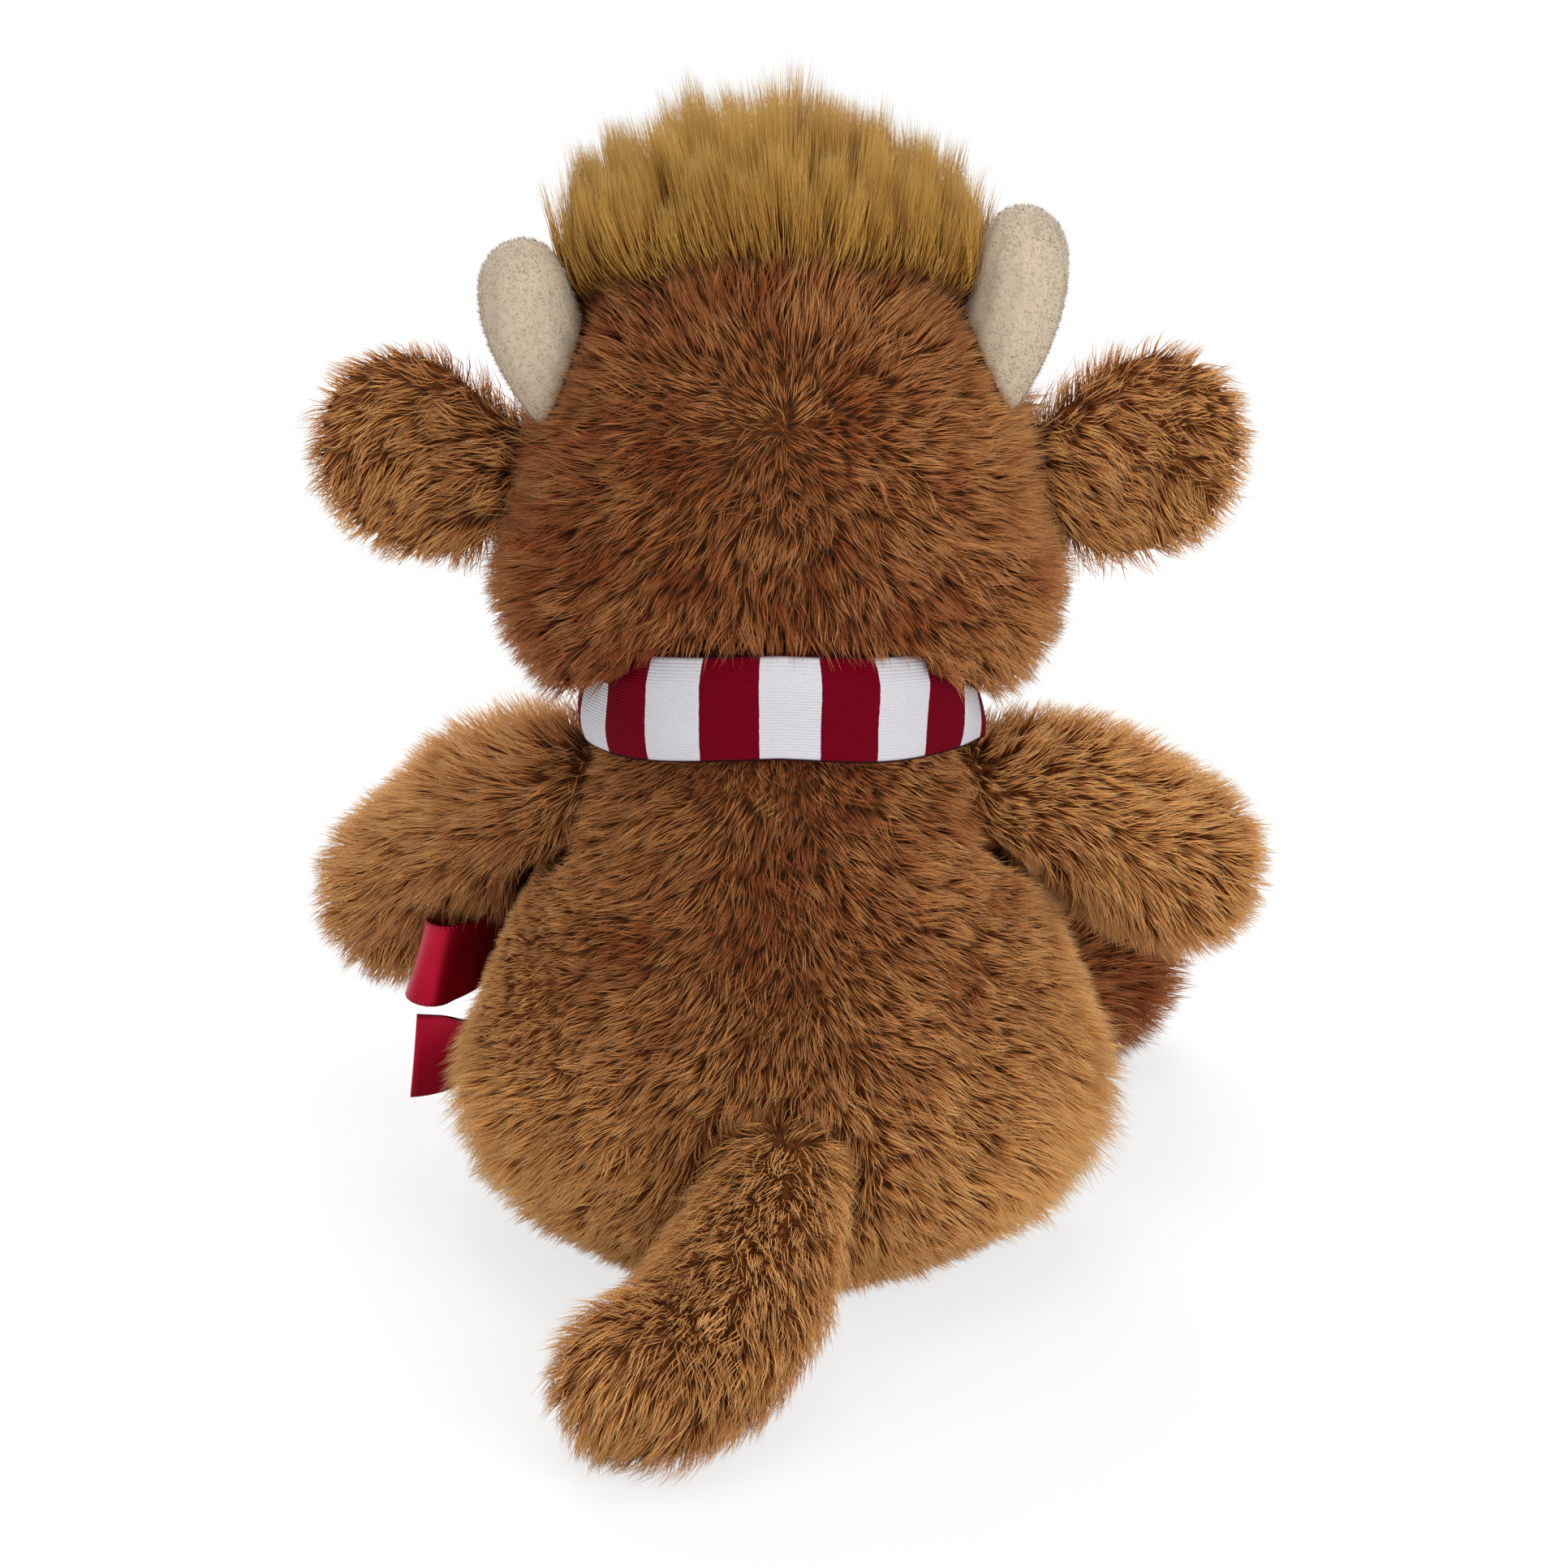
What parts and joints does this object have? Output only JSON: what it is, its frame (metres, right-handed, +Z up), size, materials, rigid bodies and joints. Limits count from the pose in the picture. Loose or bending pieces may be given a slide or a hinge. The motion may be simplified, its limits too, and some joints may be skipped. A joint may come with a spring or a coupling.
{
  "type": "plush cow",
  "caption": "Sitting stuffed toy cow in brown pile with turning head, cream horns, ochre hair tuft, striped scarf, ribbon bow, hinged limbs, ears and tail.",
  "frame": {"origin": "the seat's contact plane, on the body's centre line under the neck", "axes": "+Z up, -Y the way the cow faces, +X the cow's own left"},
  "size_m": [0.2048, 0.2483, 0.2625],
  "materials": {
    "brown_pile": "long brown faux fur pile",
    "ochre_pile": "long glossy ochre pile",
    "cream_minky": "short cream plush pile",
    "striped_velour": "velour printed with white and crimson stripes",
    "crimson_satin": "satin ribbon",
    "eye_gloss": "polished near-black",
    "washer_plastic": "natural plastic",
    "nostril_thread": "dark brown stitching"
  },
  "bodies": {
    "body": {"torso": "brown_pile", "scarf_band": "striped_velour", "scarf_knot": "striped_velour", "scarf_end_left": "striped_velour", "scarf_end_right": "striped_velour", "bow_knot": "crimson_satin", "bow_loop_left": "crimson_satin", "bow_loop_right": "crimson_satin", "bow_tail_left": "crimson_satin", "bow_tail_right": "crimson_satin"},
    "head": {"head": "brown_pile", "muzzle": "cream_minky", "nostril_left": "nostril_thread", "nostril_right": "nostril_thread", "eye_left": "eye_gloss", "eye_right": "eye_gloss", "eye_washer_left": "washer_plastic", "eye_washer_right": "washer_plastic", "horn_left": "cream_minky", "horn_right": "cream_minky", "hair_tuft": "ochre_pile"},
    "ear_left": {"ear_left": "brown_pile", "ear_lining_left": "cream_minky"},
    "ear_right": {"ear_right": "brown_pile", "ear_lining_right": "cream_minky"},
    "arm_left": {"arm_left": "brown_pile"},
    "arm_right": {"arm_right": "brown_pile"},
    "leg_left": {"leg_left": "brown_pile", "sole_left": "cream_minky"},
    "leg_right": {"leg_right": "brown_pile", "sole_right": "cream_minky"},
    "tail": {"tail": "brown_pile"}
  },
  "joints": [
    {"name": "head_turn", "type": "hinge", "parent": "body", "child": "head", "pos_m": [0, 0, 0.16], "axis": [0, 0, 1], "range_deg": [-20, 20], "stiffness_Nm_per_rad": 0.6},
    {"name": "ear_left_flap", "type": "hinge", "parent": "head", "child": "ear_left", "pos_m": [0.05373, -0.012, 0.176], "axis": [-0.2787, 0, 0.9604], "range_deg": [-20, 20], "stiffness_Nm_per_rad": 0.1},
    {"name": "ear_right_flap", "type": "hinge", "parent": "head", "child": "ear_right", "pos_m": [-0.05373, -0.012, 0.176], "axis": [0.2787, 0, 0.9604], "range_deg": [-20, 20], "stiffness_Nm_per_rad": 0.1},
    {"name": "arm_left_lift", "type": "hinge", "parent": "body", "child": "arm_left", "pos_m": [0.03982, -0.00884, 0.1015], "axis": [0, -1, 0], "range_deg": [0, 30], "stiffness_Nm_per_rad": 0.5},
    {"name": "arm_right_lift", "type": "hinge", "parent": "body", "child": "arm_right", "pos_m": [-0.03982, -0.00884, 0.1015], "axis": [0, 1, 0], "range_deg": [-8, 20], "stiffness_Nm_per_rad": 0.5},
    {"name": "leg_left_lift", "type": "hinge", "parent": "body", "child": "leg_left", "pos_m": [0.02954, -0.04342, 0.0188], "axis": [-1, 0, 0], "range_deg": [0, 20], "stiffness_Nm_per_rad": 0.8},
    {"name": "leg_right_lift", "type": "hinge", "parent": "body", "child": "leg_right", "pos_m": [-0.02628, -0.04448, 0.0188], "axis": [-1, 0, 0], "range_deg": [0, 25], "stiffness_Nm_per_rad": 0.8},
    {"name": "tail_wag", "type": "hinge", "parent": "body", "child": "tail", "pos_m": [0, 0.05099, 0.04], "axis": [0, 0, 1], "range_deg": [-20, 20], "stiffness_Nm_per_rad": 0.4}
  ]
}
